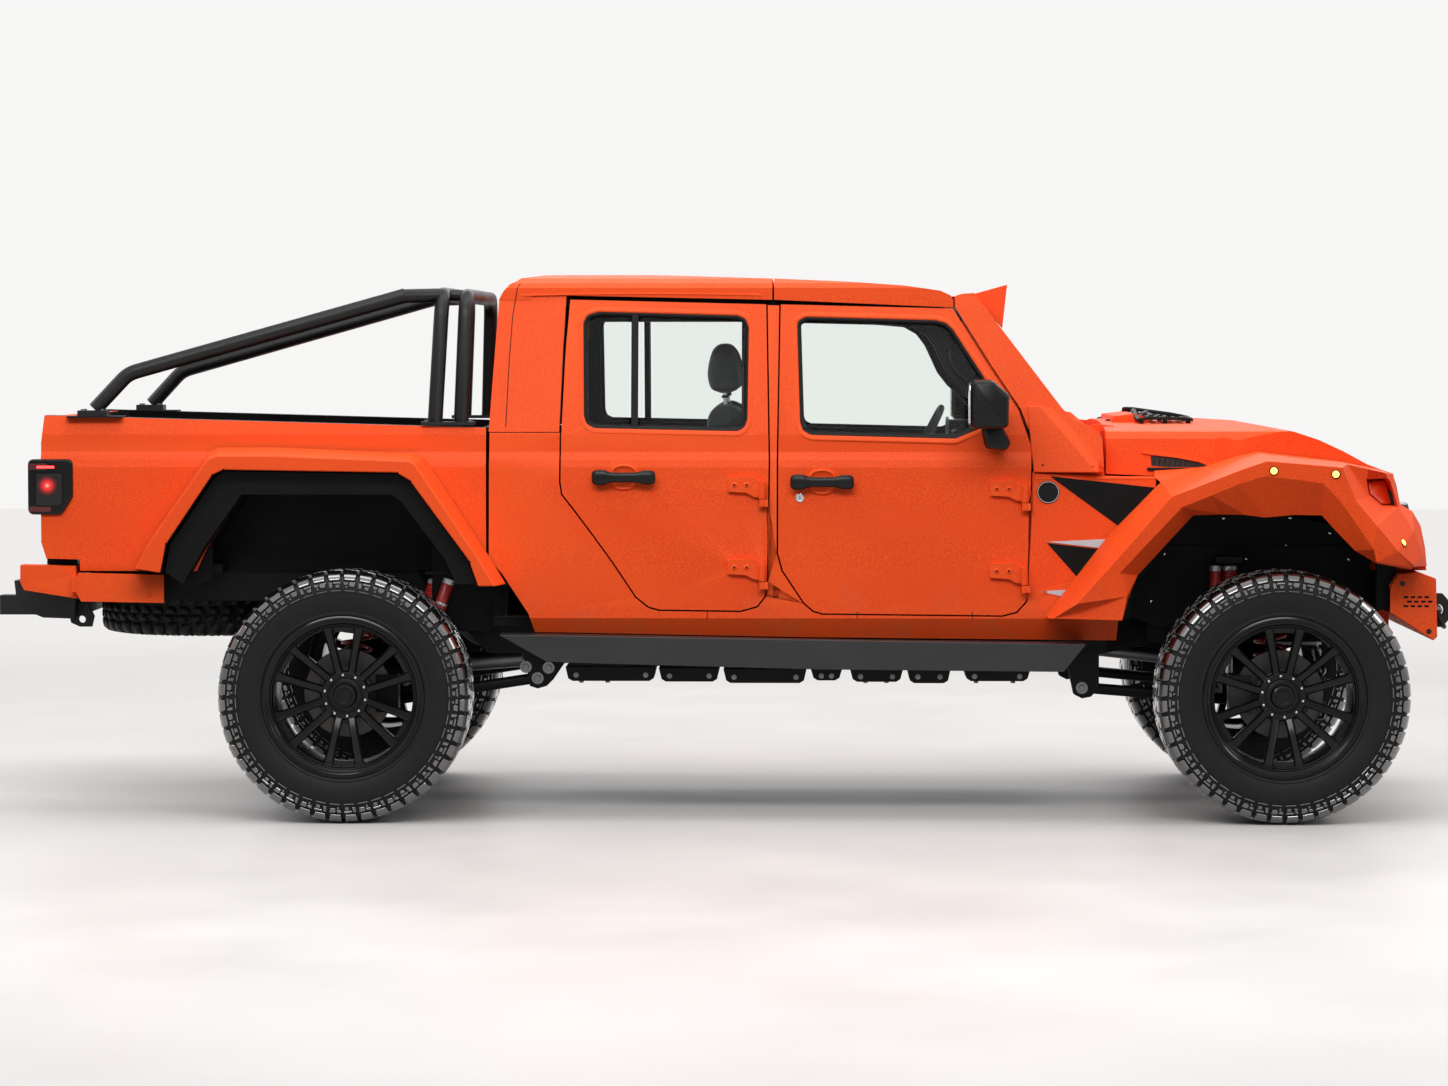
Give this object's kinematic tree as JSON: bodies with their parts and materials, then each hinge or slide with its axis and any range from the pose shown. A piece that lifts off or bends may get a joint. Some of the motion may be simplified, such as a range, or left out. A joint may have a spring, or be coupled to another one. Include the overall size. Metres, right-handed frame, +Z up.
{
  "type": "pickup truck",
  "caption": "Lifted four-door pickup truck with armoured arches, bed bar, side sliders and large mud tyres; doors, hood, tailgate, steering and wheels move.",
  "frame": {"origin": "on the ground at the centre of the overall length and width", "axes": "+X forward, +Y to the vehicle's left, +Z up"},
  "size_m": [5.618, 2.17, 2.047],
  "materials": {
    "body_paint": "matt textured orange paint",
    "black_metal": "satin black powder coat",
    "chassis": "black chassis paint, dusty",
    "wheel_black": "gloss black",
    "steel": "machined and worn steel",
    "cast": "cast iron and aluminium",
    "tyre": "black rubber",
    "glass": "lightly tinted glass",
    "lamp_red": "smoked red lens",
    "lamp_clear": "clear lens over reflector",
    "trim": "black grained plastic",
    "seat_fabric": "black hide and cloth",
    "red_spring": "gloss red"
  },
  "bodies": {
    "body": {"frame": "chassis", "cab_floor": "body_paint", "body_sides": "body_paint", "windshield_frame": "body_paint", "cab_glass": "glass", "cowl": "body_paint", "hardtop": "body_paint", "roof_panels": "body_paint", "seats": "seat_fabric", "dashboard": "trim", "roll_cage": "trim", "front_fenders": "body_paint", "wheel_liners": "trim", "grille": "body_paint", "headlights": "lamp_clear", "engine": "cast", "gearbox": "cast", "driveshafts": "steel", "exhaust": "steel", "fuel_tank": "trim", "front_axle": "chassis", "rear_axle": "chassis", "control_arms": "chassis", "springs_and_shocks": "red_spring", "bed": "body_paint", "taillights": "lamp_red", "rear_flares": "body_paint", "bed_bar": "black_metal", "front_bumper": "body_paint", "rear_bumper": "black_metal", "side_sliders": "black_metal", "spare_wheel": "tyre"},
    "hood": {"hood": "body_paint"},
    "tailgate": {"tailgate": "body_paint"},
    "steering_wheel": {"steering_wheel": "trim"},
    "tie_rod": {"tie_rod": "steel"},
    "drag_link": {"drag_link": "steel"},
    "pitman_arm": {"pitman_arm": "steel"},
    "knuckle_left": {"knuckle_left": "cast"},
    "knuckle_right": {"knuckle_right": "cast"},
    "door_front_right_swing": {"door_front_right": "body_paint", "window_front_right": "glass"},
    "wheel_front_right_spin": {"wheel_front_right": "wheel_black", "tyre_front_right": "tyre"},
    "door_front_left_swing": {"door_front_left": "body_paint", "window_front_left": "glass"},
    "wheel_front_left_spin": {"wheel_front_left": "wheel_black", "tyre_front_left": "tyre"},
    "door_rear_right_swing": {"door_rear_right": "body_paint", "window_rear_right": "glass"},
    "wheel_rear_right_spin": {"wheel_rear_right": "wheel_black", "tyre_rear_right": "tyre"},
    "door_rear_left_swing": {"door_rear_left": "body_paint", "window_rear_left": "glass"},
    "wheel_rear_left_spin": {"wheel_rear_left": "wheel_black", "tyre_rear_left": "tyre"}
  },
  "joints": [
    {"name": "door_front_right_hinge", "type": "hinge", "parent": "body", "child": "door_front_right_swing", "pos_m": [1.15, -0.816, 1.05], "axis": [0, 0, 1], "range_deg": [0, 68]},
    {"name": "door_front_left_hinge", "type": "hinge", "parent": "body", "child": "door_front_left_swing", "pos_m": [1.15, 0.816, 1.05], "axis": [0, 0, -1], "range_deg": [0, 68]},
    {"name": "door_rear_right_hinge", "type": "hinge", "parent": "body", "child": "door_rear_right_swing", "pos_m": [0.169, -0.816, 1.05], "axis": [0, 0, 1], "range_deg": [0, 68]},
    {"name": "door_rear_left_hinge", "type": "hinge", "parent": "body", "child": "door_rear_left_swing", "pos_m": [0.169, 0.816, 1.05], "axis": [0, 0, -1], "range_deg": [0, 68]},
    {"name": "steer_right", "type": "hinge", "parent": "body", "child": "knuckle_right", "pos_m": [2.103, -0.715, 0.471], "axis": [0, 0, 1], "range_deg": [-30, 30]},
    {"name": "steer_left", "type": "hinge", "parent": "body", "child": "knuckle_left", "pos_m": [2.103, 0.715, 0.471], "axis": [0, 0, 1], "range_deg": [-30, 30]},
    {"name": "roll_front_right", "type": "hinge", "parent": "knuckle_right", "child": "wheel_front_right_spin", "pos_m": [2.103, -0.862, 0.471], "axis": [0, 1, 0], "continuous": true},
    {"name": "roll_front_left", "type": "hinge", "parent": "knuckle_left", "child": "wheel_front_left_spin", "pos_m": [2.103, 0.862, 0.471], "axis": [0, 1, 0], "continuous": true},
    {"name": "roll_rear_right", "type": "hinge", "parent": "body", "child": "wheel_rear_right_spin", "pos_m": [-1.384, -0.862, 0.471], "axis": [0, 1, 0], "continuous": true},
    {"name": "roll_rear_left", "type": "hinge", "parent": "body", "child": "wheel_rear_left_spin", "pos_m": [-1.384, 0.862, 0.471], "axis": [0, 1, 0], "continuous": true},
    {"name": "hood_hinge", "type": "hinge", "parent": "body", "child": "hood", "pos_m": [1.436, 0, 1.462], "axis": [0, -1, 0], "range_deg": [0, 60]},
    {"name": "tailgate_hinge", "type": "hinge", "parent": "body", "child": "tailgate", "pos_m": [-2.5, 0, 0.985], "axis": [0, -1, 0], "range_deg": [0, 90]},
    {"name": "steering_wheel_turn", "type": "hinge", "parent": "body", "child": "steering_wheel", "pos_m": [0.8, 0.38, 1.368], "axis": [-0.8988, 0, 0.4384], "range_deg": [-420, 420]},
    {"name": "tie_rod_swing", "type": "hinge", "parent": "knuckle_left", "child": "tie_rod", "pos_m": [2.268, 0.715, 0.388], "axis": [0, 0, 1], "range_deg": [-30, 30]},
    {"name": "drag_link_swing", "type": "hinge", "parent": "knuckle_right", "child": "drag_link", "pos_m": [2.268, -0.715, 0.553], "axis": [0, 0, 1], "range_deg": [-30, 30]},
    {"name": "pitman_swing", "type": "hinge", "parent": "body", "child": "pitman_arm", "pos_m": [2.205, 0.3, 0.593], "axis": [0, 0, 1], "range_deg": [-30, 30]}
  ],
  "couplings": [
    {"joint": "steer_right", "follows": "steer_left", "ratio": 1},
    {"joint": "tie_rod_swing", "follows": "steer_left", "ratio": -1},
    {"joint": "drag_link_swing", "follows": "steer_left", "ratio": -1},
    {"joint": "pitman_swing", "follows": "steer_left", "ratio": 1},
    {"joint": "steering_wheel_turn", "follows": "steer_left", "ratio": 14}
  ]
}
